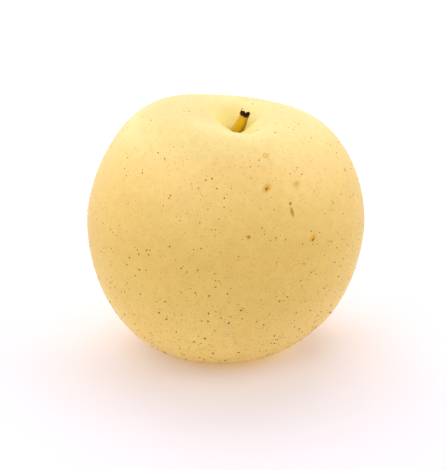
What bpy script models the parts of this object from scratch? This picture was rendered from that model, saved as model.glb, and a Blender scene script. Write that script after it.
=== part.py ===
"""An Asian pear resting on its calyx end: the round fruit and its short clipped stem.

Metres, +Z up. The origin is on the ground, under the middle of the fruit's outline box.
Azimuths are in degrees, anticlockwise from +X as seen from above, so -Y is the front.

The fruit is a profile turned about its core, then made uneven as a grown fruit is: slightly
oval, higher on one shoulder, with a dip in the rim of the stem cavity and the bottom of that
cavity a little off the core, and leaning a little above the flat ring that it rests on.
"""
import math

import bmesh
import bpy
from mathutils import Matrix, Vector
from mathutils.geometry import interpolate_bezier

# Fruit, sizes of the turned profile
FRUIT_WIDTH = 0.0900
WIDEST_HEIGHT = 0.0434
SHOULDER_HEIGHT = 0.0829
SHOULDER_RADIUS = 0.0155
CAVITY_DEPTH = 0.0092
REST_INNER_RADIUS = 0.0115
REST_OUTER_RADIUS = 0.0151
BASIN_DEPTH = 0.0045

# Fruit, how full its curves are: each is a share of the span of one profile curve
BASE_FULLNESS = 0.63
LOWER_FULLNESS = 0.441
UPPER_FULLNESS = 0.307
SHOULDER_FULLNESS = 0.714
RIM_FULLNESS = 0.56
CAVITY_FLOOR_FULLNESS = 0.305
BASIN_FULLNESS = 0.50
BASIN_EDGE_FULLNESS = 0.40

# Fruit, how it differs from a turned shape
OVALITY = 0.033
OVAL_AZIMUTH = 28.6
SHOULDER_RISE = 0.0036
SHOULDER_RISE_AZIMUTH = 241.0
SHOULDER_RISE_SPREAD = 0.010
DIP_DEPTH = 0.0072
DIP_RADIUS = 0.0130
DIP_AZIMUTH = -75.0
DIP_LEFT_SPREAD = 60.0
DIP_RIGHT_SPREAD = 30.7
CAVITY_SHIFT = 0.0012
LEAN = 2.65
LEAN_START_HEIGHT = 0.016

# Stem
STEM_LENGTH = 0.0078
STEM_LEAN = 19.5
STEM_OFFSET = 0.0005
STEM_FOOT_DIAMETER = 0.0041
STEM_SHAFT_DIAMETER = 0.0037
STEM_NECK_DIAMETER = 0.0031
STEM_TIP_DIAMETER = 0.0032
STEM_TIP_LENGTH = 0.0016
STEM_CUT_SLANT = 12.0
STEM_CLEARANCE = 0.0003
STEM_SINK = 0.0030

# Mesh fineness
FRUIT_SEGMENTS = 60
BODY_CURVE_POINTS = 11
CAVITY_CURVE_POINTS = 10
BASIN_CURVE_POINTS = 5
STEM_SEGMENTS = 16
STEM_RINGS = 10
MERGE_DISTANCE = 1e-6

# Finishes: linear red, green, blue, then roughness
SKIN_COLOUR = (0.80, 0.55, 0.20)
SKIN_ROUGHNESS = 0.45
STEM_COLOUR = (0.36, 0.22, 0.05)
STEM_ROUGHNESS = 0.75


def clear_scene():
    """Remove what the opened file holds."""
    for thing in list(bpy.data.objects):
        bpy.data.objects.remove(thing, do_unlink=True)


def finish(name, colour, roughness):
    """A non-metal Principled material."""
    material = bpy.data.materials.new(name)
    material.use_nodes = True
    shader = material.node_tree.nodes["Principled BSDF"]
    shader.inputs["Base Color"].default_value = (*colour, 1.0)
    shader.inputs["Roughness"].default_value = roughness
    shader.inputs["Metallic"].default_value = 0.0
    return material


def object_from(bm, name, material=None):
    """Turn a bmesh into a smooth-shaded object of the scene."""
    bmesh.ops.recalc_face_normals(bm, faces=bm.faces)
    mesh = bpy.data.meshes.new(name)
    bm.to_mesh(mesh)
    bm.free()
    mesh.shade_smooth()
    thing = bpy.data.objects.new(name, mesh)
    bpy.context.scene.collection.objects.link(thing)
    if material:
        mesh.materials.append(material)
    return thing


def ease(share):
    """Go from 0 to 1 with a level start and end."""
    share = min(max(share, 0.0), 1.0)
    return share * share * (3.0 - 2.0 * share)


def curve(knots, count):
    """Points along one Bezier curve of the profile, given as four (radius, height) pairs."""
    start, first, second, end = (Vector((radius, height, 0.0)) for radius, height in knots)
    return [(p.x, p.y) for p in interpolate_bezier(start, first, second, end, count)]


def fruit_profile():
    """The turned profile as (radius, height), from the cavity floor round to the basin."""
    widest = FRUIT_WIDTH / 2
    floor = SHOULDER_HEIGHT - CAVITY_DEPTH
    upper = SHOULDER_HEIGHT - WIDEST_HEIGHT
    cavity = curve([
        (0.0, floor),
        (SHOULDER_RADIUS * CAVITY_FLOOR_FULLNESS, floor),
        (SHOULDER_RADIUS * (1 - RIM_FULLNESS), SHOULDER_HEIGHT),
        (SHOULDER_RADIUS, SHOULDER_HEIGHT),
    ], CAVITY_CURVE_POINTS)
    shoulder = curve([
        (SHOULDER_RADIUS, SHOULDER_HEIGHT),
        (SHOULDER_RADIUS + SHOULDER_FULLNESS * (widest - SHOULDER_RADIUS), SHOULDER_HEIGHT),
        (widest, WIDEST_HEIGHT + UPPER_FULLNESS * upper),
        (widest, WIDEST_HEIGHT),
    ], BODY_CURVE_POINTS)
    belly = curve([
        (widest, WIDEST_HEIGHT),
        (widest, WIDEST_HEIGHT * (1 - LOWER_FULLNESS)),
        (REST_OUTER_RADIUS + BASE_FULLNESS * (widest - REST_OUTER_RADIUS), 0.0),
        (REST_OUTER_RADIUS, 0.0),
    ], BODY_CURVE_POINTS)
    basin = curve([
        (REST_INNER_RADIUS, 0.0),
        (REST_INNER_RADIUS * (1 - BASIN_EDGE_FULLNESS), 0.0),
        (REST_INNER_RADIUS * BASIN_FULLNESS, BASIN_DEPTH),
        (0.0, BASIN_DEPTH),
    ], BASIN_CURVE_POINTS)
    return cavity + shoulder[1:] + belly[1:] + basin


def rim_dip(radius, azimuth):
    """How far the dip in the cavity's rim lowers a point of the upper half."""
    away = math.remainder(azimuth - math.radians(DIP_AZIMUTH), math.tau)
    spread = math.radians(DIP_LEFT_SPREAD if away < 0 else DIP_RIGHT_SPREAD)
    reach = (radius / DIP_RADIUS) ** 2
    return DIP_DEPTH * math.exp(-(away / spread) ** 2) * reach * math.exp(1 - reach)


def grown(point):
    """Move a point of the turned fruit to its place on the uneven one."""
    radius = math.hypot(point.x, point.y)
    azimuth = math.atan2(point.y, point.x)
    freedom = ease(point.z / LEAN_START_HEIGHT)
    oval = OVALITY * freedom * math.cos(2 * (azimuth - math.radians(OVAL_AZIMUTH)))
    height, shift = point.z, 0.0
    if point.z > WIDEST_HEIGHT:
        share = min((point.z - WIDEST_HEIGHT) / (SHOULDER_HEIGHT - WIDEST_HEIGHT), 1.0)
        side = math.cos(azimuth - math.radians(SHOULDER_RISE_AZIMUTH))
        side *= radius / math.hypot(radius, SHOULDER_RISE_SPREAD)
        height += SHOULDER_RISE * share ** 2 * side - rim_dip(radius, azimuth)
        shift = CAVITY_SHIFT * max(1.0 - (radius / SHOULDER_RADIUS) ** 2, 0.0)
    place = Vector((point.x * (1 + oval) + shift, point.y * (1 + oval), height))
    return Matrix.Rotation(math.radians(LEAN) * freedom, 3, "Y") @ place


def turn(profile, segments):
    """Turn a profile of (radius, height) points about the core into a closed skin."""
    bm = bmesh.new()
    verts = [bm.verts.new((radius, 0.0, height)) for radius, height in profile]
    edges = [bm.edges.new(pair) for pair in zip(verts, verts[1:])]
    bmesh.ops.spin(bm, geom=verts + edges, cent=(0, 0, 0), axis=(0, 0, 1),
                   dvec=(0, 0, 0), angle=math.tau, steps=segments)
    bmesh.ops.remove_doubles(bm, verts=bm.verts, dist=MERGE_DISTANCE)
    return bm


def build_fruit(material):
    """The fruit: one solid body, with its stem cavity, calyx basin and flat resting ring."""
    bm = turn(fruit_profile(), FRUIT_SEGMENTS)
    for vert in bm.verts:
        vert.co = grown(vert.co)
    return object_from(bm, "fruit", material)


def stem_radius(distance):
    """The stem's radius at a distance along it from the cavity floor."""
    neck = STEM_LENGTH - STEM_TIP_LENGTH
    shaft = neck / 2
    if distance < shaft:
        share, low, high = distance / shaft, STEM_FOOT_DIAMETER, STEM_SHAFT_DIAMETER
    elif distance < neck:
        share, low, high = (distance - shaft) / (neck - shaft), STEM_SHAFT_DIAMETER, STEM_NECK_DIAMETER
    else:
        share, low, high = (distance - neck) / STEM_TIP_LENGTH, STEM_NECK_DIAMETER, STEM_TIP_DIAMETER
    return (low + (high - low) * ease(share)) / 2


def stem_profile():
    """The stem as (radius, height) before it leans, from its cut end down into the fruit."""
    heights = [STEM_LENGTH * i / STEM_RINGS for i in range(STEM_RINGS, -1, -1)] + [-STEM_SINK]
    side = [(stem_radius(height), height) for height in heights]
    return [(0.0, heights[0]), *side, (0.0, heights[-1])]


def build_stem(fruit, material):
    """The stem: a rod that leans in the cavity, its foot cut to the floor with a clearance."""
    foot = grown(Vector((STEM_OFFSET, 0.0, SHOULDER_HEIGHT - CAVITY_DEPTH)))
    place = Matrix.Translation(foot) @ Matrix.Rotation(math.radians(LEAN + STEM_LEAN), 4, "Y")
    slant = math.tan(math.radians(STEM_CUT_SLANT))
    bm = turn(stem_profile(), STEM_SEGMENTS)
    for vert in bm.verts:
        tip_share = ease((vert.co.z - STEM_LENGTH) / STEM_TIP_LENGTH + 1.0)
        vert.co.z += slant * vert.co.x * tip_share
        vert.co = place @ vert.co
    stem = object_from(bm, "stem", material)
    seat = stem.modifiers.new("seat", "BOOLEAN")
    seat.operation = "DIFFERENCE"
    seat.solver = "EXACT"
    seat.object = swollen(fruit)
    return stem


def swollen(fruit):
    """A hidden cutter: the fruit's skin moved out by the stem's clearance."""
    bm = bmesh.new()
    bm.from_mesh(fruit.data)
    bm.normal_update()
    moves = [(vert, vert.normal * STEM_CLEARANCE) for vert in bm.verts]
    for vert, move in moves:
        vert.co += move
    cutter = object_from(bm, "stem_seat_cutter")
    cutter.hide_render = True
    cutter.display_type = "WIRE"
    return cutter


def stand_on_origin(fruit, others):
    """Put the middle of the fruit's outline box over the origin, and the others with it."""
    xs = [vert.co.x for vert in fruit.data.vertices]
    ys = [vert.co.y for vert in fruit.data.vertices]
    shift = Vector(((min(xs) + max(xs)) / -2, (min(ys) + max(ys)) / -2, 0.0))
    for thing in [fruit, *others]:
        thing.data.transform(Matrix.Translation(shift))


def main():
    """Build the fruit and its stem."""
    clear_scene()
    fruit = build_fruit(finish("pear_skin", SKIN_COLOUR, SKIN_ROUGHNESS))
    stem = build_stem(fruit, finish("dry_stem", STEM_COLOUR, STEM_ROUGHNESS))
    stand_on_origin(fruit, [stem, stem.modifiers["seat"].object])


main()
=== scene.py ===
"""Looks of an Asian pear that rests on its calyx end, on a white table under soft studio light.

Metres, +Z up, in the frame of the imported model. Azimuths are in degrees, anticlockwise from +X as
seen from above, so -Y is the front. Each part of the pear is a class that holds its sizes, builds
its mesh and dresses it; main builds them in order.
"""
import logging
import math
from collections.abc import Sequence
from dataclasses import dataclass, field
from enum import Enum
from functools import cached_property
from typing import Any

import bpy
import numpy as np
from bpy.types import Material, Node, NodeSocket, NodeTree, Object
from mathutils import Euler, Matrix, Vector


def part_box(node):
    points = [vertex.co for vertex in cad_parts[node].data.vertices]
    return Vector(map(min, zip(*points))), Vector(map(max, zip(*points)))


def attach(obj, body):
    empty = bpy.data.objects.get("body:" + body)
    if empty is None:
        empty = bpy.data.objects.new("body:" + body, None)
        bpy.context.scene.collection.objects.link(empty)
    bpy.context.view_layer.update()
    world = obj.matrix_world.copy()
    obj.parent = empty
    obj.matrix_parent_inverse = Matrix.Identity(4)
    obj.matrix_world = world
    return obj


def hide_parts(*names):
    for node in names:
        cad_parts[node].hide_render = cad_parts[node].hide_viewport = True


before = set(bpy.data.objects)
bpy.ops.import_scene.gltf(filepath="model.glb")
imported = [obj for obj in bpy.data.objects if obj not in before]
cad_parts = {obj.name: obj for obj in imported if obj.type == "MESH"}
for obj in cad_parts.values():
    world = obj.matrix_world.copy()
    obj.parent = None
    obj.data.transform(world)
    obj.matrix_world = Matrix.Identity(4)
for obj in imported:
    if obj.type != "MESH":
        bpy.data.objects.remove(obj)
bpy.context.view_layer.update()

LOG = logging.getLogger("pear")
MM = 0.001
BODY = "root"
MIXED = 2  # number of the Mix node's colour output
DRAWN = 1  # number of the Random Value node's float output


class Slot(Enum):
    """Material slot names."""

    SKIN = "pear_skin"
    STEM = "dry_stem"


class Lamp(Enum):
    """The studio's soft lights: name, place, width in metres and power in watts."""

    OVERHEAD = ("overhead_softbox", (0.0, 0.60, 0.80), 0.9, 3.45)
    BACK = ("back_panel", (0.0, 1.10, 0.40), 0.9, 0.55)
    LEFT = ("left_panel", (-0.90, 0.0, 0.40), 0.8, 1.55)
    RIGHT = ("right_panel", (0.90, 0.0, 0.40), 0.8, 3.35)
    BACK_LEFT = ("back_left_panel", (-0.70, 0.70, 0.50), 0.8, 2.3)
    BACK_RIGHT = ("back_right_panel", (0.70, 0.70, 0.50), 0.8, 1.05)
    FRONT_LEFT = ("front_left_softbox", (-0.80, -0.80, 0.60), 0.7, 3.1)
    FRONT = ("front_fill", (0.0, -1.10, 0.25), 0.6, 0.8)


# ---- shared tools


def linear(code: str) -> tuple[float, float, float, float]:
    """Turn an sRGB hex colour into linear red, green, blue and a full alpha.

    Args:
        code: The colour as "#RRGGBB".

    Returns:
        Four floats, as Blender's colour sockets take them.
    """
    shares = [int(code[i:i + 2], 16) / 255 for i in (1, 3, 5)]
    return (*[s / 12.92 if s <= 0.04045 else ((s + 0.055) / 1.055) ** 2.4 for s in shares], 1.0)


def ease(share: np.ndarray | float) -> np.ndarray:
    """Go from 0 to 1 with a level start and end.

    Args:
        share: How far along, clamped to 0..1.

    Returns:
        The eased share.
    """
    share = np.clip(share, 0.0, 1.0)
    return share * share * (3.0 - 2.0 * share)


def feed(tree: NodeTree, node: Node, inputs: dict[int | str, Any]) -> None:
    """Give a node's inputs their values and links.

    Args:
        tree: The tree that holds the node.
        node: The node.
        inputs: A value, a socket to link from, or a node whose first output is linked, by the
            input's identifier, name or number.
    """
    for key, value in inputs.items():
        named = [socket for socket in node.inputs if socket.identifier == key]
        socket = named[0] if named else node.inputs[key]
        if isinstance(value, Node):
            value = value.outputs[0]
        if isinstance(value, NodeSocket):
            tree.links.new(value, socket)
        else:
            socket.default_value = value


def add_node(tree: NodeTree, kind: str, inputs: dict[int | str, Any] | None = None,
             **settings: Any) -> Node:
    """Add a node to a tree, set it up and link it.

    Args:
        tree: The node tree that takes the node.
        kind: The node's type.
        inputs: What feed takes.
        settings: The node's own properties.

    Returns:
        The new node.
    """
    node = tree.nodes.new(kind)
    for name, value in settings.items():
        setattr(node, name, value)
    feed(tree, node, inputs or {})
    return node


def ramp_stops(node: Node, stops: Sequence[tuple[float, str]]) -> None:
    """Give a colour ramp its stops.

    Args:
        node: The colour ramp node.
        stops: Places from 0 to 1, rising, each with its hex colour.
    """
    elements = node.color_ramp.elements
    while len(elements) < len(stops):
        elements.new(1.0)
    for element, (place, code) in zip(elements, stops):
        element.position = place
        element.color = linear(code)


def new_object(name: str, data: bpy.types.ID) -> Object:
    """Make an object that holds some data, and put it in the scene.

    Args:
        name: Its name.
        data: Its mesh, light or camera.

    Returns:
        The object, at the origin.
    """
    thing = bpy.data.objects.new(name, data)
    bpy.context.scene.collection.objects.link(thing)
    return thing


def mesh_object(name: str, points: np.ndarray, faces: Sequence[Sequence[int]]) -> Object:
    """Make a smooth-shaded object from points and faces.

    Args:
        name: The piece's name.
        points: The vertices, one row each.
        faces: Vertex numbers of each face, anticlockwise seen from outside.

    Returns:
        The object.
    """
    mesh = bpy.data.meshes.new(name)
    mesh.from_pydata(points.tolist(), [], faces)
    mesh.validate()
    mesh.shade_smooth()
    return new_object(name, mesh)


def shell_faces(rings: int, segments: int) -> list[tuple[int, ...]]:
    """Faces of a closed shell: a pole, rings of points, and a second pole.

    The points are numbered ring by ring, anticlockwise from above, from the upper ring to the
    lower one, then the upper pole and the lower pole.

    Args:
        rings: How many rings of points.
        segments: How many points in a ring.

    Returns:
        The faces, outwards.
    """
    upper, lower = rings * segments, rings * segments + 1
    last = (rings - 1) * segments
    faces: list[tuple[int, ...]] = []
    for i in range(segments):
        j = (i + 1) % segments
        faces.append((upper, i, j))
        faces.append((lower, last + j, last + i))
        faces.extend((r * segments + i, (r + 1) * segments + i,
                      (r + 1) * segments + j, r * segments + j) for r in range(rings - 1))
    return faces


def hand_in(piece: Object, slot: Slot, *nodes: str) -> None:
    """Let a finished piece ride on the pear's body and report it.

    Args:
        piece: The finished piece.
        slot: The slot that its finish belongs to; not used.
        nodes: CAD nodes that the piece stands for, if any.
    """
    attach(piece, BODY)
    if nodes:
        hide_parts(*nodes)
    mesh = piece.data
    mesh.calc_loop_triangles()
    LOG.info("%s: %d triangles, %s, stands for %s", piece.name, len(mesh.loop_triangles),
             mesh.materials[0].name, ", ".join(nodes) or "no CAD node")


# ---- the fruit's shape


@dataclass
class FruitForm:
    """The shape of the fruit: a profile turned about its core, then grown uneven.

    The sizes and the rule are those of the CAD solid, so the skin lies on it; the fine lumps and
    the folds of the two hollows are added here, and go inwards only.
    """

    width: float = 90.0 * MM
    widest_height: float = 43.4 * MM
    shoulder_height: float = 82.9 * MM
    shoulder_radius: float = 15.5 * MM
    cavity_depth: float = 9.2 * MM
    rest_inner_radius: float = 11.5 * MM
    rest_outer_radius: float = 15.1 * MM
    basin_depth: float = 4.5 * MM
    base_fullness: float = 0.63
    lower_fullness: float = 0.441
    upper_fullness: float = 0.307
    shoulder_fullness: float = 0.714
    rim_fullness: float = 0.56
    cavity_floor_fullness: float = 0.305
    basin_fullness: float = 0.50
    basin_edge_fullness: float = 0.40
    ovality: float = 0.033
    oval_azimuth: float = 28.6
    shoulder_rise: float = 3.6 * MM
    shoulder_rise_azimuth: float = 241.0
    shoulder_rise_spread: float = 10.0 * MM
    dip_depth: float = 7.2 * MM
    dip_radius: float = 13.0 * MM
    dip_azimuth: float = -75.0
    dip_left_spread: float = 60.0
    dip_right_spread: float = 30.7
    cavity_shift: float = 1.2 * MM
    lean: float = 2.65
    lean_start_height: float = 16.0 * MM
    margin: float = 0.08 * MM
    lump_depth: float = 0.22 * MM
    fold_depth: float = 0.45 * MM
    fold_count: int = 5
    segments: int = 330
    cavity_rings: int = 46
    body_rings: int = 88
    flat_rings: int = 4
    basin_rings: int = 26
    scale: np.ndarray = field(default_factory=lambda: np.ones(3))
    shift: np.ndarray = field(default_factory=lambda: np.zeros(3))

    @property
    def cavity_floor(self) -> float:
        """Height of the cavity's floor at the core, before the fruit leans."""
        return self.shoulder_height - self.cavity_depth

    @staticmethod
    def curve(knots: Sequence[tuple[float, float]], count: int) -> np.ndarray:
        """Points along one cubic Bezier curve of the profile.

        Args:
            knots: Its four (radius, height) pairs.
            count: How many points, ends included.

        Returns:
            One (radius, height) row for each point.
        """
        t = np.linspace(0.0, 1.0, count)[:, None]
        start, first, second, end = (np.array(knot) for knot in knots)
        return ((1 - t) ** 3 * start + 3 * (1 - t) ** 2 * t * first
                + 3 * (1 - t) * t ** 2 * second + t ** 3 * end)

    def profile(self) -> np.ndarray:
        """The turned profile as (radius, height) rows, from the cavity's floor to the basin."""
        widest, middle, floor = self.width / 2, self.widest_height, self.cavity_floor
        rim, top = self.shoulder_radius, self.shoulder_height
        foot, hole, deep = self.rest_outer_radius, self.rest_inner_radius, self.basin_depth
        cavity = self.curve([
            (0.0, floor), (rim * self.cavity_floor_fullness, floor),
            (rim * (1 - self.rim_fullness), top), (rim, top)], self.cavity_rings)
        shoulder = self.curve([(rim, top), (rim + self.shoulder_fullness * (widest - rim), top),
            (widest, middle + self.upper_fullness * (top - middle)), (widest, middle)], self.body_rings)
        belly = self.curve([(widest, middle), (widest, middle * (1 - self.lower_fullness)),
            (foot + self.base_fullness * (widest - foot), 0.0), (foot, 0.0)], self.body_rings)
        flat = np.column_stack([np.linspace(foot, hole, self.flat_rings + 1),
                                np.zeros(self.flat_rings + 1)])
        basin = self.curve([(hole, 0.0), (hole * (1 - self.basin_edge_fullness), 0.0),
            (hole * self.basin_fullness, deep), (0.0, deep)], self.basin_rings)
        return np.vstack([cavity, shoulder[1:], belly[1:], flat[1:], basin[1:]])

    def rim_dip(self, radius: np.ndarray, azimuth: np.ndarray) -> np.ndarray:
        """How far the dip in the cavity's rim lowers points of the upper half.

        Args:
            radius: Distances from the core.
            azimuth: Azimuths in radians.

        Returns:
            The drops in height.
        """
        away = (azimuth - math.radians(self.dip_azimuth) + math.pi) % math.tau - math.pi
        spread = np.radians(np.where(away < 0, self.dip_left_spread, self.dip_right_spread))
        reach = (radius / self.dip_radius) ** 2
        return self.dip_depth * np.exp(-(away / spread) ** 2) * reach * np.exp(1 - reach)

    def grown(self, radius: np.ndarray, azimuth: np.ndarray, height: np.ndarray) -> np.ndarray:
        """Move points of the turned fruit to their places on the uneven one.

        Args:
            radius: Distances from the core.
            azimuth: Azimuths in radians.
            height: Heights on the turned profile.

        Returns:
            The places, with x, y and z along the last axis.
        """
        freedom = ease(height / self.lean_start_height)
        oval = 1 + self.ovality * freedom * np.cos(2 * (azimuth - math.radians(self.oval_azimuth)))
        share = np.clip((height - self.widest_height)
                        / (self.shoulder_height - self.widest_height), 0.0, 1.0)
        side = np.cos(azimuth - math.radians(self.shoulder_rise_azimuth))
        side = side * radius / np.hypot(radius, self.shoulder_rise_spread)
        lift = self.shoulder_rise * share ** 2 * side - self.rim_dip(radius, azimuth)
        z = height + np.where(height > self.widest_height, lift, 0.0)
        inside = np.where(height > self.widest_height,
                          np.clip(1 - (radius / self.shoulder_radius) ** 2, 0.0, 1.0), 0.0)
        x = radius * np.cos(azimuth) * oval + self.cavity_shift * inside
        y = radius * np.sin(azimuth) * oval
        turn = math.radians(self.lean) * freedom
        return np.stack([x * np.cos(turn) + z * np.sin(turn), y,
                         z * np.cos(turn) - x * np.sin(turn)], axis=-1)

    def inward(self, grid: np.ndarray, radius: np.ndarray, azimuth: np.ndarray) -> np.ndarray:
        """How far growth pulls each point of the skin in: soft lumps, and folds in the basin.

        Args:
            grid: The places of the points.
            radius: Their distances from the core.
            azimuth: Their azimuths in radians.

        Returns:
            The distances inwards.
        """
        waves = [((0.9, 0.3, -0.5), 46.0, 0.4), ((-0.4, 0.8, 0.6), 33.0, 2.1),
                 ((0.2, -0.7, 0.8), 27.0, 4.0), ((-0.8, -0.5, 0.2), 21.0, 5.2)]
        lumps = sum(np.sin(grid @ np.array(way) * math.tau / (length * MM) + start)
                    for way, length, start in waves) / len(waves)
        free = ease(grid[..., 2] / (8 * MM))
        folds = 0.5 + 0.5 * np.cos(self.fold_count * azimuth + 0.7 * np.sin(azimuth * 2 + 1.0))
        share = radius / self.rest_inner_radius
        in_basin = np.where(grid[..., 2] < 2 * self.basin_depth, 1.0, 0.0)
        fold_shape = in_basin * ease(share / 0.35) * ease((1 - share) / 0.45)
        return self.lump_depth * (0.5 + 0.5 * lumps) * free + self.fold_depth * folds * fold_shape

    def skin_points(self) -> tuple[np.ndarray, int]:
        """Places of the skin's points inside the CAD solid's box, rings first and then the poles.

        Returns:
            The points, and how many rings there are.
        """
        profile = self.profile()
        azimuth = np.linspace(0.0, math.tau, self.segments, endpoint=False)
        radius, angle = np.meshgrid(profile[:, 0], azimuth, indexing="ij")
        height = np.repeat(profile[:, 1:], self.segments, axis=1)
        grid = self.grown(radius, angle, height)
        along = np.gradient(grid, axis=0)
        across = np.roll(grid, -1, axis=1) - np.roll(grid, 1, axis=1)
        normal = np.cross(along, across)
        normal /= np.maximum(np.linalg.norm(normal, axis=-1, keepdims=True), 1e-12)
        grid -= normal * self.inward(grid, radius, angle)[..., None]
        flat = (height == 0.0) & (radius > self.rest_inner_radius * 0.999)
        grid[..., 2] = np.where(flat, 0.0, grid[..., 2])
        rings = grid[1:-1].reshape(-1, 3)
        points = np.vstack([rings, grid[0].mean(axis=0), grid[-1].mean(axis=0)])
        low, high = (np.array(corner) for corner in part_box("fruit"))
        low, high = low + self.margin, high - self.margin
        span = points.max(axis=0) - points.min(axis=0)
        self.scale = (high - low) / span
        self.shift = low - points.min(axis=0) * self.scale
        return points * self.scale + self.shift, len(profile) - 2

    def placed(self, radius: float, azimuth: float, height: float) -> Vector:
        """Where a point of the turned fruit lies on the finished one.

        Args:
            radius: Distance from the core.
            azimuth: Azimuth in radians.
            height: Height on the turned profile.

        Returns:
            The place in the row's frame.
        """
        place = self.grown(np.array(radius), np.array(azimuth), np.array(height))
        return Vector(place * self.scale + self.shift)


# ---- marks on the skin


@dataclass(frozen=True)
class Mark:
    """A rub or healed spot on the skin: a stain with a darker core. Lengths are in millimetres."""

    azimuth: float  # where it is round the fruit, in degrees
    height: float  # above the table
    length: float  # half the length of its stain
    width: float  # half the width of its stain
    turn: float  # degrees from level, anticlockwise seen from outside
    stain: float  # how strongly the stain shows, from 0 to 1
    core: float  # how strongly the core shows, from 0 to 1
    core_share: float = 0.4  # the core's share of the stain's size
    healed: bool = False  # the core has healed over pale, inside a ring of stain


SKIN_MARKS = (
    Mark(-67.3, 76.3, 1.4, 1.3, 0.0, 1.00, 0.60, 0.4, True),
    Mark(-70.4, 67.7, 2.5, 1.6, 35.0, 0.95, 0.0),
    Mark(-70.5, 67.5, 0.9, 0.6, 60.0, 0.60, 0.95, 0.6),
    Mark(-54.1, 67.3, 1.8, 1.2, 15.0, 0.85, 0.0),
    Mark(-59.7, 62.2, 0.65, 0.6, 0.0, 0.40, 0.85, 0.7),
    Mark(-59.5, 59.7, 2.5, 0.9, 98.0, 0.80, 0.50, 0.6),
    Mark(-50.4, 50.2, 2.3, 1.4, 30.0, 0.95, 0.0),
    Mark(-50.6, 49.6, 0.9, 0.6, 30.0, 0.60, 0.90, 0.7),
    Mark(-80.6, 54.0, 1.2, 1.0, 0.0, 0.95, 0.55, 0.45),
    Mark(-68.6, 52.8, 0.8, 0.5, 0.0, 0.40, 0.50, 0.6),
    Mark(-15.3, 64.5, 1.1, 0.8, 60.0, 0.45, 0.55, 0.6),
    Mark(48.0, 66.0, 1.6, 0.9, 20.0, 0.55, 0.65),
    Mark(118.0, 38.0, 2.3, 0.8, -35.0, 0.50, 0.60, 0.6),
    Mark(171.0, 57.0, 1.3, 1.2, 0.0, 0.65, 0.50, 0.5, True),
    Mark(-158.0, 29.0, 1.1, 0.7, 70.0, 0.55, 0.75), )


# ---- finishes


@dataclass
class Coat:
    """A new material that is painted layer by layer, from its ground up.

    Attributes:
        name: The material's name.
        colour: The colour so far, as a socket or as four floats.
    """

    name: str
    colour: NodeSocket | tuple[float, ...] = (0.0, 0.0, 0.0, 1.0)

    def __post_init__(self) -> None:
        """Make the material."""
        self.material = bpy.data.materials.new(self.name)
        self.material.use_nodes = True
        self.tree = self.material.node_tree

    @cached_property
    def place(self) -> NodeSocket:
        """Object coordinates, which every pattern reads."""
        return add_node(self.tree, "ShaderNodeTexCoord").outputs["Object"]

    def blend(self, code: str, cover: Node | NodeSocket) -> None:
        """Lay a colour on by a mask.

        Args:
            code: The hex colour.
            cover: The mask, from 0 to 1.
        """
        self.colour = add_node(self.tree, "ShaderNodeMix", {
            "Factor_Float": cover, "A_Color": self.colour, "B_Color": linear(code)},
            data_type="RGBA").outputs[MIXED]

    def lay(self, code: str, value: Node | NodeSocket, start: float, end: float,
            strength: float = 1.0) -> None:
        """Lay a colour on where a value passes, softly, from one bound to the other.

        Args:
            code: The hex colour.
            value: The value.
            start: Where the colour begins to show.
            end: Where it shows most.
            strength: How strongly it shows there, from 0 to 1.
        """
        self.blend(code, add_node(self.tree, "ShaderNodeMapRange", {
            "Value": value, "From Min": start, "From Max": end, "To Max": strength},
            interpolation_type="SMOOTHSTEP"))

    def finish(self, inputs: dict[str, Any]) -> Material:
        """Give the shader its colour and its other inputs.

        Args:
            inputs: What feed takes, for the shader.

        Returns:
            The material.
        """
        shader = self.tree.nodes["Principled BSDF"]
        feed(self.tree, shader, {"Base Color": self.colour, **inputs})
        return self.material


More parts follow.
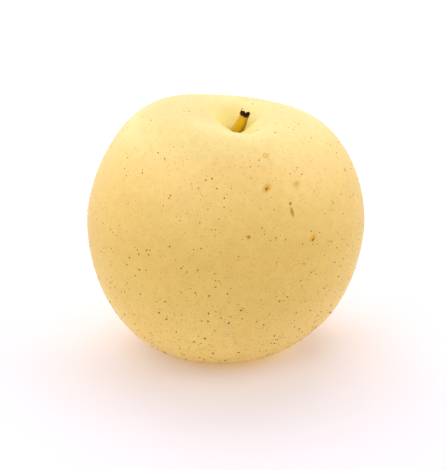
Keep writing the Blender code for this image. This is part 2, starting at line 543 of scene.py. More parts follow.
@dataclass(frozen=True)
class PearSkinFinish:
    """Ripe Asian pear skin: thin, waxy, faintly see-through over white flesh.

    The eye sees warm straw gold at the belly that pales to cream on the shoulders, a soft satin
    sheen rather than a gloss, faint corky flecks, and a breath of russet in the two hollows. Some of
    the colour is painted light: lighter near the table and on the shoulders, and brighter in the
    stem cavity to lift its shade.
    """

    # Colours up the fruit: partly the skin's own tone and partly painted light, lighter near the table
    # in place of bounce light from the floor, with lighter shoulders and a darker middle set to how the
    # light falls
    ground: tuple[tuple[float, str], ...] = (
        (0.00, "#F3D278"), (0.10, "#EFCF78"), (0.21, "#E7C671"), (0.35, "#DCBB64"),
        (0.53, "#DBB75F"), (0.70, "#E5C26B"), (0.85, "#F6D282"),
        (0.93, "#FADD93"), (1.00, "#F8D28A"))
    ripe_tint: str = "#E3AE55"
    green_tint: str = "#DFC76A"
    fleck: str = "#9E7012"
    halo: str = "#F6E2A4"
    # painted light: brighter, yellower skin in the stem cavity that lifts its shade
    painted_cavity_light: str = "#FCE68A"
    russet: str = "#C08A34"
    stain: str = "#DFA310"
    core: str = "#85500C"
    roughness: float = 0.46
    ior: float = 1.42
    flesh_weight: float = 0.25
    flesh_depth: float = 2.2 * MM
    flesh_bleed: tuple[float, float, float] = (1.0, 0.55, 0.20)
    fleck_spacing: float = 1.35 * MM
    painted_cavity_light_reach: float = 14.0 * MM
    cavity_russet: tuple[float, float] = (6.0 * MM, 0.30)  # its reach and its strength
    basin_russet: tuple[float, float] = (12.0 * MM, 0.70)

    def build(self, marks: Sequence[tuple[Mark, Vector, Euler]], cavity: Vector,
              basin: Vector) -> Material:
        """Make the material.

        Args:
            marks: Each mark, its place on the skin and the turn of its own level frame.
            cavity: The middle of the stem cavity's floor.
            basin: The middle of the calyx basin's floor.

        Returns:
            The material.
        """
        coat = Coat("ripe_pear_skin")
        self.lay_ground_and_painted_light(coat)
        flecks = self.lay_flecks(coat)
        self.lay_hollows(coat, cavity, basin)
        self.lay_marks(coat, marks)
        return coat.finish(self.surface(coat, flecks))

    def lay_ground_and_painted_light(self, coat: Coat) -> None:
        """Lay the ground colour: gold below, cream above, partly painted light, with ripe and green
        clouds.

        Args:
            coat: The material being painted.
        """
        tree, place = coat.tree, coat.place
        height = add_node(tree, "ShaderNodeSeparateXYZ", {0: place}).outputs["Z"]
        # Clouds 30 mm across make the line between gold and cream wander
        cloud = add_node(tree, "ShaderNodeTexNoise", {
            "Vector": place, "Scale": 1 / (30 * MM), "Detail": 2.0})
        sway = add_node(tree, "ShaderNodeMath", {
            0: cloud, 1: 12 * MM, 2: height}, operation="MULTIPLY_ADD")
        # The ramp by height is partly painted light: lighter near the table as painted floor bounce,
        # lighter shoulders and darker middle as painted shading
        share = add_node(tree, "ShaderNodeMapRange", {
            "Value": sway, "From Min": 6 * MM, "From Max": 91 * MM})
        ramp = add_node(tree, "ShaderNodeValToRGB", {"Fac": share})
        ramp_stops(ramp, self.ground)
        coat.colour = ramp.outputs["Color"]
        # Soft patches of riper and greener skin, 17 mm across
        patch = add_node(tree, "ShaderNodeTexNoise", {
            "Vector": place, "Scale": 1 / (17 * MM), "Detail": 3.0, "Distortion": 0.4})
        coat.lay(self.ripe_tint, patch, 0.50, 0.75, 0.14)
        coat.lay(self.green_tint, patch, 0.48, 0.25, 0.12)
        # Cell clumps under the skin, 3 mm across, give it a faint grain of light and dark
        grain = add_node(tree, "ShaderNodeTexNoise", {
            "Vector": place, "Scale": 1 / (3 * MM), "Detail": 4.0, "Roughness": 0.6})
        tone = add_node(tree, "ShaderNodeMapRange", {
            "Value": grain, "From Min": 0.3, "From Max": 0.7, "To Min": 0.955, "To Max": 1.04})
        coat.colour = add_node(tree, "ShaderNodeHueSaturation", {
            "Value": tone, "Color": coat.colour}).outputs["Color"]

    def lay_flecks(self, coat: Coat) -> Node:
        """Lay on the faint flecks under the wax: tan pores, each in a paler ring.

        Args:
            coat: The material being painted.

        Returns:
            The flecks' mask.
        """
        tree, place = coat.tree, coat.place
        height = add_node(tree, "ShaderNodeSeparateXYZ", {0: place}).outputs["Z"]
        cells = add_node(tree, "ShaderNodeTexVoronoi", {
            "Vector": place, "Scale": 1 / self.fleck_spacing})
        coat.lay(self.halo, cells, 0.42, 0.20, 0.10)
        spot = add_node(tree, "ShaderNodeMapRange", {
            "Value": cells, "From Min": 0.24, "From Max": 0.10}, interpolation_type="SMOOTHSTEP")
        low = add_node(tree, "ShaderNodeMapRange", {
            "Value": height, "From Min": 80 * MM, "From Max": 8 * MM, "To Min": 0.30, "To Max": 0.65})
        coat.blend(self.fleck, add_node(tree, "ShaderNodeMath", {
            0: spot, 1: low}, operation="MULTIPLY"))
        return spot

    def lay_hollows(self, coat: Coat, cavity: Vector, basin: Vector) -> None:
        """Lay on painted light in the stem cavity, brighter and yellower skin that lifts its shade, and
        thin russet cork in both hollows.

        Args:
            coat: The material being painted.
            cavity: The middle of the stem cavity's floor.
            basin: The middle of the calyx basin's floor.
        """
        tree, place = coat.tree, coat.place
        up, down = [add_node(tree, "ShaderNodeVectorMath", {
            0: place, 1: middle}, operation="DISTANCE").outputs["Value"]
            for middle in (cavity, basin)]
        # Painted light: the stem cavity's skin is painted brighter and yellower, full within about 4 mm
        # of its floor and gone at 14 mm, to lift the shade in it
        coat.lay(self.painted_cavity_light, up, self.painted_cavity_light_reach, self.painted_cavity_light_reach * 0.3)
        net = add_node(tree, "ShaderNodeTexNoise", {
            "Vector": place, "Scale": 1 / (1.6 * MM), "Detail": 5.0, "Roughness": 0.65})
        for away, (reach, strength) in ((up, self.cavity_russet), (down, self.basin_russet)):
            near = add_node(tree, "ShaderNodeMapRange", {
                "Value": away, "From Min": reach, "From Max": reach * 0.25},
                interpolation_type="SMOOTHSTEP")
            torn = add_node(tree, "ShaderNodeMath", {0: net, 1: 0.9, 2: near}, operation="MULTIPLY_ADD")
            coat.lay(self.russet, torn, 0.72, 1.35, strength)

    def lay_marks(self, coat: Coat, marks: Sequence[tuple[Mark, Vector, Euler]]) -> None:
        """Lay on the rubs and healed spots: an orange stain round a brown core.

        Args:
            coat: The material being painted.
            marks: Each mark, its place and the turn of its own level frame.
        """
        # Ragged edges: 0.7 mm blotches push the pattern about by a few tenths of a millimetre
        ragged = add_node(coat.tree, "ShaderNodeTexNoise", {
            "Vector": coat.place, "Scale": 1 / (0.7 * MM), "Detail": 2.0})
        push = add_node(coat.tree, "ShaderNodeVectorMath", {
            0: ragged.outputs["Color"], 1: (0.5 * MM,) * 3, 2: coat.place}, operation="MULTIPLY_ADD")
        for mark, middle, turn in marks:
            level = add_node(coat.tree, "ShaderNodeMapping", {
                "Vector": push, "Location": middle + Vector((0.25 * MM,) * 3), "Rotation": turn,
                "Scale": (mark.length * MM, mark.width * MM, 2 * MM)}, vector_type="TEXTURE")
            away = add_node(coat.tree, "ShaderNodeVectorMath", {
                0: level}, operation="LENGTH").outputs["Value"]
            coat.lay(self.stain, away, 1.0, 0.15, mark.stain)
            if mark.core:
                coat.lay(self.halo if mark.healed else self.core, away,
                         mark.core_share * 1.5, mark.core_share * 0.4, mark.core)

    def surface(self, coat: Coat, flecks: Node) -> dict[str, Any]:
        """The skin's sheen, its depth and its fine relief.

        Args:
            coat: The material being painted.
            flecks: The flecks' mask.

        Returns:
            The shader's inputs.
        """
        tree, place = coat.tree, coat.place
        # The wax is thicker in places: patches of 6 mm are a little shinier
        wax = add_node(tree, "ShaderNodeTexNoise", {
            "Vector": place, "Scale": 1 / (6 * MM), "Detail": 3.0})
        rough = add_node(tree, "ShaderNodeMapRange", {
            "Value": wax, "From Min": 0.3, "From Max": 0.7, "To Min": self.roughness - 0.05,
            "To Max": self.roughness + 0.07})
        # Pores of 0.6 mm, drawn as soft dimples, with the corky flecks a hair proud
        pores = add_node(tree, "ShaderNodeTexNoise", {
            "Vector": place, "Scale": 1 / (0.6 * MM), "Detail": 3.0})
        relief = add_node(tree, "ShaderNodeMath", {
            0: flecks, 1: 0.6, 2: pores}, operation="MULTIPLY_ADD")
        bump = add_node(tree, "ShaderNodeBump", {
            "Strength": 0.25, "Distance": 0.04 * MM, "Height": relief})
        return {"IOR": self.ior, "Subsurface Weight": self.flesh_weight,
                "Subsurface Radius": self.flesh_bleed, "Subsurface Scale": self.flesh_depth,
                "Roughness": rough, "Normal": bump}


@dataclass(frozen=True)
class LenticelFinish:
    """Cork in the skin's pores: dry and matt, warm brown, the large ones darker."""

    pale: str = "#B07C00"
    dark: str = "#824F00"
    roughness: float = 0.95
    sheen: float = 0.0

    def build(self) -> Material:
        """Make the material, whose tone changes from one pore to the next."""
        coat = Coat("pore_cork", linear(self.pale))
        tone = add_node(coat.tree, "ShaderNodeAttribute", attribute_name="tone")
        coat.blend(self.dark, tone.outputs["Fac"])
        return coat.finish({"Roughness": self.roughness, "Specular IOR Level": self.sheen})


@dataclass(frozen=True)
class StemFinish:
    """Half-dried fruit stalk: golden olive bark, fibrous, blackened where it was cut.

    The eye sees a satin golden rod with fine lengthwise fibres, an orange blush, brown flecks,
    and a near-black, ragged dry end.
    """

    bark: str = "#D8B21A"
    olive: str = "#AA8A0C"
    blush: str = "#E4B048"
    fibre: str = "#7A5A18"
    fleck: str = "#5A3410"
    dead: str = "#2A1303"
    dead_edge: str = "#6E4412"
    dead_length: float = 0.45 * MM
    roughness: float = 0.48
    dead_roughness: float = 0.92
    sheen: float = 0.15

    def build(self, foot: Vector, turn: Euler, length: float) -> Material:
        """Make the material.

        Args:
            foot: Where the stem's axis starts.
            turn: How the stem leans.
            length: The stem's length along its axis.

        Returns:
            The material.
        """
        coat = Coat("dried_stalk_bark", linear(self.bark))
        tree = coat.tree
        place = add_node(tree, "ShaderNodeMapping", {
            "Vector": coat.place, "Location": foot, "Rotation": turn}, vector_type="TEXTURE")
        axis = add_node(tree, "ShaderNodeSeparateXYZ", {0: place})
        # Fibres 0.35 mm apart, drawn out twelve times along the stalk
        drawn = add_node(tree, "ShaderNodeMapping", {"Vector": place, "Scale": (1.0, 1.0, 1 / 12)})
        fibres = add_node(tree, "ShaderNodeTexNoise", {
            "Vector": drawn, "Scale": 1 / (0.35 * MM), "Detail": 4.0, "Roughness": 0.6})
        # Greener and more orange patches, 2.4 mm across, greener on the side that it leans to
        patches = add_node(tree, "ShaderNodeTexNoise", {
            "Vector": place, "Scale": 1 / (2.4 * MM), "Detail": 2.0})
        side = add_node(tree, "ShaderNodeMapRange", {
            "Value": axis, "From Min": -1.6 * MM, "From Max": 1.6 * MM})
        shade = add_node(tree, "ShaderNodeMath", {
            0: patches, 1: 0.5, 2: side}, operation="MULTIPLY_ADD")
        spots = add_node(tree, "ShaderNodeTexVoronoi", {"Vector": place, "Scale": 1 / (1.5 * MM)})
        # The dry end: its edge wanders by half a millimetre round the stalk
        wander = add_node(tree, "ShaderNodeTexNoise", {
            "Vector": place, "Scale": 1 / (0.9 * MM), "Detail": 3.0})
        height = add_node(tree, "ShaderNodeMath", {
            0: wander, 1: 1.2 * MM, 2: axis.outputs["Z"]}, operation="MULTIPLY_ADD")
        edge = length - self.dead_length
        charred = (edge - 0.1 * MM, edge + 0.3 * MM)
        for layer in ((self.olive, shade, 0.75, 1.2, 0.75), (self.blush, shade, 0.55, 0.30, 0.6),
                      (self.fibre, fibres, 0.55, 0.75, 0.45), (self.fleck, spots, 0.24, 0.14, 0.8),
                      (self.dead_edge, height, edge - 0.5 * MM, edge), (self.dead, height, *charred)):
            coat.lay(*layer)
        dull = add_node(tree, "ShaderNodeMapRange", {
            "Value": height, "From Min": charred[0], "From Max": charred[1],
            "To Min": self.roughness, "To Max": self.dead_roughness}, interpolation_type="SMOOTHSTEP")
        bump = add_node(tree, "ShaderNodeBump", {
            "Strength": 0.6, "Distance": 0.06 * MM, "Height": fibres})
        return coat.finish({"Roughness": dull, "Specular IOR Level": self.sheen, "Normal": bump})


@dataclass(frozen=True)
class CorkFinish:
    """Dry cork of the flower's scar: rough, brown, darker in its cracks."""

    pale: str = "#A57A42"
    dark: str = "#4A3018"
    crack_spacing: float = 0.8 * MM
    roughness: float = 0.88

    def build(self) -> Material:
        """Make the material."""
        coat = Coat("calyx_cork")
        cells = add_node(coat.tree, "ShaderNodeTexVoronoi", {
            "Vector": coat.place, "Scale": 1 / self.crack_spacing}, feature="DISTANCE_TO_EDGE")
        # Mottling of 0.5 mm makes the cracks uneven
        mottle = add_node(coat.tree, "ShaderNodeTexNoise", {
            "Vector": coat.place, "Scale": 1 / (0.5 * MM), "Detail": 5.0, "Roughness": 0.65})
        crack = add_node(coat.tree, "ShaderNodeMath", {0: cells, 1: mottle}, operation="MULTIPLY")
        ramp = add_node(coat.tree, "ShaderNodeValToRGB", {"Fac": crack})
        ramp_stops(ramp, [(0.0, self.dark), (0.16, self.pale)])
        coat.colour = ramp.outputs["Color"]
        bump = add_node(coat.tree, "ShaderNodeBump", {
            "Strength": 0.8, "Distance": 0.1 * MM, "Height": crack})
        return coat.finish({"Roughness": self.roughness, "Normal": bump})


@dataclass(frozen=True)
class TableFinish:
    """Matt white acrylic sheet: bright and even, with no gloss to mirror the fruit.

    A painted warm glow, which the table itself emits in a ring round the fruit's foot, keeps its shadow
    pale and orange.
    """

    colour: str = "#F7F0F8"
    # painted glow: warm light that the table emits round the fruit's foot to lift its shadow
    painted_glow: str = "#FFDD94"
    painted_glow_strength: float = 0.20
    painted_glow_inner: float = 18.0 * MM
    painted_glow_outer: float = 30.0 * MM
    roughness: float = 0.7
    sheen: float = 0.2

    def build(self) -> Material:
        """Make the material."""
        coat = Coat("matt_white_acrylic", linear(self.colour))
        away = add_node(coat.tree, "ShaderNodeVectorMath", {0: coat.place}, operation="LENGTH")
        # Painted glow: the table emits warm light near the fruit's foot, full within 18 mm of the
        # middle and gone at 30 mm
        painted_glow_share = add_node(coat.tree, "ShaderNodeMapRange", {
            "Value": away.outputs["Value"], "From Min": self.painted_glow_outer,
            "From Max": self.painted_glow_inner, "To Max": self.painted_glow_strength}, interpolation_type="SMOOTHSTEP")
        return coat.finish({"Roughness": self.roughness, "Specular IOR Level": self.sheen,
                            "Emission Color": linear(self.painted_glow), "Emission Strength": painted_glow_share})


# ---- the fruit


@dataclass
class Fruit:
    """The fruit's skin, the corky pores in it and the scar that the flower left.

    Crowding and girth are rows of heights in millimetres and of the pores' density and size there.
    """

    form: FruitForm
    pore_radius: float = 0.185 * MM
    pore_density: float = 0.50 / MM ** 2
    pore_gap: float = 0.85 * MM
    pore_seed: int = 7
    crowding: tuple[tuple[float, ...], ...] = (
        (0.0, 0.3, 6.0, 18.0, 32.0, 45.0, 60.0, 72.0, 80.0),
        (0.0, 0.46, 0.52, 0.52, 0.58, 0.56, 0.42, 0.30, 0.16))
    girth: tuple[tuple[float, ...], ...] = (
        (0.0, 14.0, 24.0, 40.0, 70.0), (1.30, 1.25, 1.04, 0.89, 0.79))
    scar_radius: float = 3.4 * MM
    scar_depth: float = 0.9 * MM
    scar_segments: int = 56
    scar_rings: int = 16
    skin: Object | None = None

    def build_skin(self) -> None:
        """Build the skin: one closed shell on the CAD solid's shape."""
        points, rings = self.form.skin_points()
        self.skin = mesh_object("fruit_skin", points, shell_faces(rings, self.form.segments))
        cavity = self.form.placed(0.0, 0.0, self.form.cavity_floor)
        basin = self.form.placed(0.0, 0.0, self.form.basin_depth)
        marks = [(mark, *self.mark_place(mark)) for mark in SKIN_MARKS]
        self.skin.data.materials.append(PearSkinFinish().build(marks, cavity, basin))
        hand_in(self.skin, Slot.SKIN, "fruit")

    def mark_place(self, mark: Mark) -> tuple[Vector, Euler]:
        """Where a mark is on the skin, and how its own level frame is turned.

        Args:
            mark: The mark.

        Returns:
            The place, and the turn that takes x to the mark's length and z to the skin's outside.
        """
        azimuth = math.radians(mark.azimuth)
        out = Vector((math.cos(azimuth), math.sin(azimuth), 0.0))
        start = Vector((0.0, 0.0, mark.height * MM)) + out * self.form.width
        hit, place, normal, _ = self.skin.ray_cast(start, -out)
        if not hit:
            raise ValueError(f"no skin at azimuth {mark.azimuth}, height {mark.height} mm")
        level = Vector((0.0, 0.0, 1.0)).cross(normal).normalized()
        rise = normal.cross(level)
        frame_turn = Matrix((level, rise, normal)).transposed()
        spun = frame_turn @ Matrix.Rotation(math.radians(mark.turn), 3, "Z")
        return place, spun.to_euler()

    def crowd_pores(self) -> None:
        """Write on the skin's points how thick the pores stand there and how big they grow."""
        mesh = self.skin.data
        places = np.empty(len(mesh.vertices) * 3)
        mesh.vertices.foreach_get("co", places)
        height = places.reshape(-1, 3)[:, 2] / MM
        for name, rows in (("crowding", self.crowding), ("girth", self.girth)):
            layer = mesh.attributes.new(name, "FLOAT", "POINT")
            layer.data.foreach_set("value", np.interp(height, *rows).astype(np.float32))

    def build_pores(self) -> None:
        """Build the lenticels: low corky domes scattered over the skin by a node tree."""
        self.crowd_pores()
        carrier = new_object("pore_carrier", self.skin.data.copy())
        cork = LenticelFinish().build()
        tree = PoreTree().build(cork)
        modifier = carrier.modifiers.new("pores", "NODES")
        modifier.node_group = tree
        values = {"Radius": self.pore_radius, "Density": self.pore_density,
                  "Gap": self.pore_gap, "Seed": self.pore_seed}
        for socket in tree.interface.items_tree:
            if socket.name in values:
                modifier[socket.identifier] = values[socket.name]
        graph = bpy.context.evaluated_depsgraph_get()
        mesh = bpy.data.meshes.new_from_object(carrier.evaluated_get(graph))
        carrier.modifiers.remove(modifier)
        bpy.data.objects.remove(carrier)
        mesh.name = "skin_pores"
        mesh.materials.clear()
        mesh.materials.append(cork)
        mesh.polygons.foreach_set("material_index", [0] * len(mesh.polygons))
        pores = new_object("skin_pores", mesh)
        for layer in ("crowding", "girth"):
            self.skin.data.attributes.remove(self.skin.data.attributes[layer])
        hand_in(pores, Slot.SKIN)

    def build_scar(self) -> None:
        """Build the flower's scar: a rough corky button with radial ridges, deep in the basin."""
        middle = self.form.placed(0.0, 0.0, self.form.basin_depth)
        shares = np.linspace(0.0, 1.0, self.scar_rings + 1)[1:]
        azimuth = np.linspace(0.0, math.tau, self.scar_segments, endpoint=False)
        share, angle = np.meshgrid(shares, azimuth, indexing="ij")
        wave = np.sin(5 * angle + 1.1) + 0.5 * np.sin(11 * angle + 0.4) + 0.35 * np.sin(23 * angle)
        radius = self.scar_radius * share * (1 + 0.07 * wave * share)
        drop = (0.35 * (1 - share ** 2) + 0.30 * np.exp(-((share - 0.62) / 0.16) ** 2)
                - 0.55 * np.exp(-(share / 0.22) ** 2) + 0.10 * wave * share * (1 - share ** 4))
        face = np.stack([radius * np.cos(angle), radius * np.sin(angle),
                         -self.scar_depth * drop], axis=-1)
        back = face[-1] + np.array([0.0, 0.0, 1.2 * MM])
        rings = np.concatenate([back[None], face[::-1]], axis=0)
        poles = np.array([[0.0, 0.0, back[:, 2].mean()], face[0].mean(axis=0)])
        points = np.vstack([rings.reshape(-1, 3), poles]) + np.array(middle)
        scar = mesh_object("calyx_scar", points, shell_faces(len(rings), self.scar_segments))
        scar.data.materials.append(CorkFinish().build())
        hand_in(scar, Slot.SKIN)


@dataclass
class PoreTree:
    """The node tree that sows the pores over the skin. Sizes are shares of the mean radius."""

    segments: int = 8  # with the rings, this keeps a pore to a few dozen faces
    rings: int = 3
    flatness: float = 0.32  # half thickness of a dome, as a share of its own radius
    raggedness: float = 0.45  # how far an outline strays
    grit: float = 0.35 * MM  # width of the bumps that make it stray
    smallest: float = 0.55
    largest: float = 1.90
    rarity: float = 4.5  # how rare the large ones are

    def build(self, cork: Material) -> NodeTree:
        """Make the tree.

        Args:
            cork: The pores' material.

        Returns:
            The tree, with inputs for the mean radius, the density, the smallest gap and the seed.
        """
        tree = bpy.data.node_groups.new("sown_pores", "GeometryNodeTree")
        for name, way, kind in (
                ("Geometry", "INPUT", "Geometry"), ("Radius", "INPUT", "Float"),
                ("Density", "INPUT", "Float"), ("Gap", "INPUT", "Float"), ("Seed", "INPUT", "Int"),
                ("Geometry", "OUTPUT", "Geometry")):
            tree.interface.new_socket(name, in_out=way, socket_type=f"NodeSocket{kind}")
        given = add_node(tree, "NodeGroupInput").outputs
        crowding = add_node(tree, "GeometryNodeInputNamedAttribute", {"Name": "crowding"})
        sown = add_node(tree, "GeometryNodeDistributePointsOnFaces", {
            "Mesh": given["Geometry"], "Distance Min": given["Gap"],
            "Density Max": given["Density"], "Density Factor": crowding, "Seed": given["Seed"]},
            distribute_method="POISSON")
        scale, tone = self.sizes(tree, given)
        spin = add_node(tree, "FunctionNodeRandomValue", {
            "Max_001": math.tau, "Seed": 31}).outputs[DRAWN]
        about = add_node(tree, "FunctionNodeAxisAngleToRotation", {
            "Axis": (0.0, 0.0, 1.0), "Angle": spin})
        turned = add_node(tree, "FunctionNodeRotateRotation", {
            "Rotation": sown.outputs["Rotation"], "Rotate By": about}, rotation_space="LOCAL")
        dome = add_node(tree, "GeometryNodeMeshUVSphere", {
            "Segments": self.segments, "Rings": self.rings, "Radius": 1.0})
        placed = add_node(tree, "GeometryNodeInstanceOnPoints", {
            "Points": sown, "Instance": dome, "Rotation": turned, "Scale": scale})
        toned = add_node(tree, "GeometryNodeStoreNamedAttribute", {
            "Geometry": placed, "Name": "tone", "Value": tone}, domain="INSTANCE")
        real = add_node(tree, "GeometryNodeRealizeInstances", {"Geometry": toned})
        smooth = add_node(tree, "GeometryNodeSetShadeSmooth", {
            "Geometry": self.ragged(tree, real, given)})
        dressed = add_node(tree, "GeometryNodeSetMaterial", {"Geometry": smooth, "Material": cork})
        add_node(tree, "NodeGroupOutput", {"Geometry": dressed})
        return tree

    def sizes(self, tree: NodeTree, given: Any) -> tuple[Node, Node]:
        """Nodes for each pore's size and tone: many small ones, few large, large ones darker.

        Args:
            tree: The tree.
            given: The group input's sockets.

        Returns:
            The scale and the tone.
        """
        girth = add_node(tree, "GeometryNodeInputNamedAttribute", {"Name": "girth"})
        chance, stretch, fade = [add_node(tree, "FunctionNodeRandomValue", {
                "Min_001": low, "Max_001": high, "Seed": seed}).outputs[DRAWN]
            for low, high, seed in ((0.0, 1.0, 11), (0.75, 1.45, 12), (-0.25, 0.45, 13))]
        rare = add_node(tree, "ShaderNodeMath", {0: chance, 1: self.rarity}, operation="POWER")
        spread = add_node(tree, "ShaderNodeMapRange", {
            "Value": rare, "To Min": self.smallest, "To Max": self.largest})
        grown = add_node(tree, "ShaderNodeMath", {0: spread, 1: girth}, operation="MULTIPLY")
        radius = add_node(tree, "ShaderNodeMath", {0: grown, 1: given["Radius"]}, operation="MULTIPLY")
        shape = add_node(tree, "ShaderNodeCombineXYZ", {"X": stretch, "Y": 0.9, "Z": self.flatness})
        scale = add_node(tree, "ShaderNodeVectorMath", {0: shape, "Scale": radius}, operation="SCALE")
        tone = add_node(tree, "ShaderNodeMath", {
            0: grown, 1: 0.45, 2: fade}, operation="MULTIPLY_ADD", use_clamp=True)
        return scale, tone

    def ragged(self, tree: NodeTree, pores: Node, given: Any) -> Node:
        """Nodes that make the pores' outlines uneven and keep them off the table.

        Args:
            tree: The tree.
            pores: The realised pores.
            given: The group input's sockets.

        Returns:
            The uneven pores.
        """
        place = add_node(tree, "GeometryNodeInputPosition")
        noise = add_node(tree, "ShaderNodeTexNoise", {
            "Vector": place, "Scale": 1 / self.grit, "Detail": 1.0})
        centred = add_node(tree, "ShaderNodeVectorMath", {
            0: noise.outputs["Color"], 1: (0.5, 0.5, 0.5)}, operation="SUBTRACT")
        reach = add_node(tree, "ShaderNodeMath", {
            0: given["Radius"], 1: self.raggedness}, operation="MULTIPLY")
        push = add_node(tree, "ShaderNodeVectorMath", {0: centred, "Scale": reach}, operation="SCALE")
        moved = add_node(tree, "GeometryNodeSetPosition", {"Geometry": pores, "Offset": push})
        parts = add_node(tree, "ShaderNodeSeparateXYZ", {0: place})
        height = add_node(tree, "ShaderNodeMath", {0: parts.outputs["Z"], 1: 0.0}, operation="MAXIMUM")
        lifted = add_node(tree, "ShaderNodeCombineXYZ", {
            "X": parts, "Y": parts.outputs["Y"], "Z": height})
        return add_node(tree, "GeometryNodeSetPosition", {"Geometry": moved, "Position": lifted})


# ---- the stem


@dataclass
class Stem:
    """The stalk: flared foot, ribbed shaft, and a ragged, dried-out cut end."""

    form: FruitForm
    length: float = 7.8 * MM
    lean: float = 19.5
    offset: float = 0.5 * MM
    sink: float = 1.6 * MM
    foot_radius: float = 2.2 * MM
    base_radius: float = 2.0 * MM
    shaft_radius: float = 1.85 * MM
    neck_radius: float = 1.55 * MM
    tip_radius: float = 1.62 * MM
    tip_length: float = 1.6 * MM
    cut_slant: float = 12.0
    bow: float = 0.25 * MM
    rib_depth: float = 0.06 * MM
    tear_height: float = 0.55 * MM
    hollow: float = 0.7 * MM
    segments: int = 64
    rings: int = 90
    cut_rings: int = 12

    def placing(self) -> Matrix:
        """The matrix from the stem's own frame, with z along it, to the row's."""
        foot = self.form.placed(self.offset, 0.0, self.form.cavity_floor)
        turn = Matrix.Rotation(math.radians(self.form.lean + self.lean), 4, "Y")
        return Matrix.Translation(foot) @ turn

    def radius_at(self, along: np.ndarray) -> np.ndarray:
        """The stem's mean radius at distances along it from the cavity floor.

        Args:
            along: The distances.

        Returns:
            The radii.
        """
        neck = self.length - self.tip_length
        stops = [-self.sink, 0.0, 0.10 * neck, 0.5 * neck, neck, self.length]
        radii = [self.foot_radius, self.foot_radius * 0.97, self.base_radius, self.shaft_radius,
                 self.neck_radius, self.tip_radius]
        radius = np.full_like(along, radii[0])
        for start, end, low, high in zip(stops, stops[1:], radii, radii[1:]):
            share = ease((along - start) / (end - start))
            radius = np.where(along >= start, low + (high - low) * share, radius)
        return radius

    def build(self) -> None:
        """Build the stem: one closed shell from its buried foot to its torn end."""
        along = np.linspace(self.length, -self.sink, self.rings)
        azimuth = np.linspace(0.0, math.tau, self.segments, endpoint=False)
        height, angle = np.meshgrid(along, azimuth, indexing="ij")
        ribs = (np.sin(5 * angle + 0.9 + 80 * height) + 0.7 * np.sin(9 * angle - 1.3 - 60 * height)
                + 0.45 * np.sin(17 * angle + 0.5 + 140 * height)) / 2.15
        knots = 0.10 * MM * np.sin(height / (1.9 * MM) + 1.3) * np.cos(angle - 2.2)
        crumple = ease((height - self.length + self.tip_length) / self.tip_length)
        ribs = ribs * (1 + 1.3 * crumple)
        radius = self.radius_at(height) + self.rib_depth * ribs + knots
        tear = (np.sin(3 * angle + 0.6) + 0.6 * np.sin(7 * angle + 2.0) + 0.4 * np.sin(13 * angle)) / 2
        slant = math.tan(math.radians(self.cut_slant)) * radius * np.cos(angle)
        z = height + crumple * (slant + self.tear_height * (tear - 0.6))
        side = self.centred(radius, angle, z)
        shares = np.linspace(0.92, 0.12, self.cut_rings)
        share, around = np.meshgrid(shares, azimuth, indexing="ij")
        rim = z[0]
        pit = self.hollow * (1 - share ** 2) + 0.12 * MM * np.sin(4 * around + 9 * share)
        inner = self.centred(radius[0] * share, around, rim * share + rim.mean() * (1 - share) - pit)
        rings = np.concatenate([inner[::-1], side], axis=0)
        poles = np.array([rings[0].mean(axis=0), rings[-1].mean(axis=0)])
        points = np.vstack([rings.reshape(-1, 3), poles])
        stem = mesh_object("stem_stalk", points, shell_faces(len(rings), self.segments))
        place = self.placing()
        stem.data.transform(place)
        stem.data.materials.append(StemFinish().build(
            place.to_translation(), place.to_euler(), self.length))
        hand_in(stem, Slot.STEM, "stem")

    def centred(self, radius: np.ndarray, angle: np.ndarray, z: np.ndarray) -> np.ndarray:
        """Points round the stem's gently bowed middle line.

        Args:
            radius: Distances from the middle line.
            angle: Azimuths in radians.
            z: Heights along the stem.

        Returns:
            The points, with x, y and z along the last axis.
        """
        bow = self.bow * np.sin(math.pi * np.clip(z / self.length, 0.0, 1.0))
        return np.stack([radius * np.cos(angle) + bow, radius * np.sin(angle), z], axis=-1)


# ---- the studio


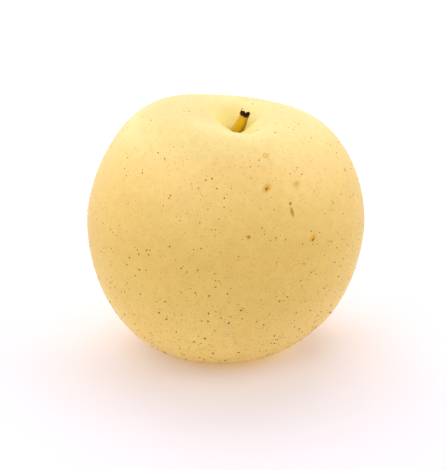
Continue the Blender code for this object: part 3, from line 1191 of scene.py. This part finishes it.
@dataclass
class Studio:
    """White table, soft lights on every side, and the camera."""

    table_size: float = 6.0
    camera_distance: float = 0.70
    camera_elevation: float = 22.0
    camera_level: float = 43.4 * MM
    aim: tuple[float, float, float] = (-0.00107, 0.0, 0.03746)
    light_aim: tuple[float, float, float] = (0.0, 0.0, 0.04)
    lens: float = 162.5
    sky: str = "#FFFFFF"
    sky_strength: float = 0.635

    def build_table(self) -> None:
        """A wide white table top, just under the pear."""
        half = self.table_size / 2
        corners = np.array([[-half, -half, 0], [half, -half, 0], [half, half, 0], [-half, half, 0]])
        table = mesh_object("table_top", corners, [(0, 1, 2, 3)])
        table.data.materials.append(TableFinish().build())

    def build_lights(self) -> None:
        """Large soft panels and a white sky, so that no shadow has an edge."""
        world = bpy.data.worlds.new("white_cove")
        bpy.context.scene.world = world
        world.use_nodes = True
        sky = world.node_tree.nodes["Background"].inputs
        sky["Color"].default_value = linear(self.sky)
        sky["Strength"].default_value = self.sky_strength
        for lamp in Lamp:
            name, place, width, power = lamp.value
            light = bpy.data.lights.new(name, "AREA")
            light.shape = "SQUARE"
            light.size = width
            light.energy = power
            self.stand(new_object(name, light), place, self.light_aim)

    def stand(self, thing: Object, place: Sequence[float], target: Sequence[float]) -> None:
        """Stand a light or the camera somewhere, facing a point.

        Args:
            thing: The light or the camera.
            place: Where it stands.
            target: The point that it faces.
        """
        thing.location = place
        toward = Vector(target) - thing.location
        thing.rotation_euler = toward.to_track_quat("-Z", "Y").to_euler()

    def build_camera(self) -> None:
        """The camera: a long lens a little above the fruit."""
        camera = bpy.data.cameras.new("camera")
        camera.lens = self.lens
        camera.sensor_width = 36.0
        camera.clip_start, camera.clip_end = 0.05, 20.0
        thing = new_object("camera", camera)
        up = math.radians(self.camera_elevation)
        back = Vector((0.0, -math.cos(up), math.sin(up)))
        middle = Vector((0.0, 0.0, self.camera_level))
        self.stand(thing, middle + back * self.camera_distance, self.aim)
        bpy.context.scene.camera = thing
        bpy.context.scene.view_settings.view_transform = "Standard"


def main() -> None:
    """Build the pear, part by part, and the studio round it."""
    logging.basicConfig(level=logging.INFO, format="%(name)s: %(message)s")
    form = FruitForm()
    fruit = Fruit(form)
    fruit.build_skin()
    fruit.build_pores()
    fruit.build_scar()
    Stem(form).build()
    studio = Studio()
    studio.build_table()
    studio.build_lights()
    studio.build_camera()


if __name__ == "__main__":
    main()
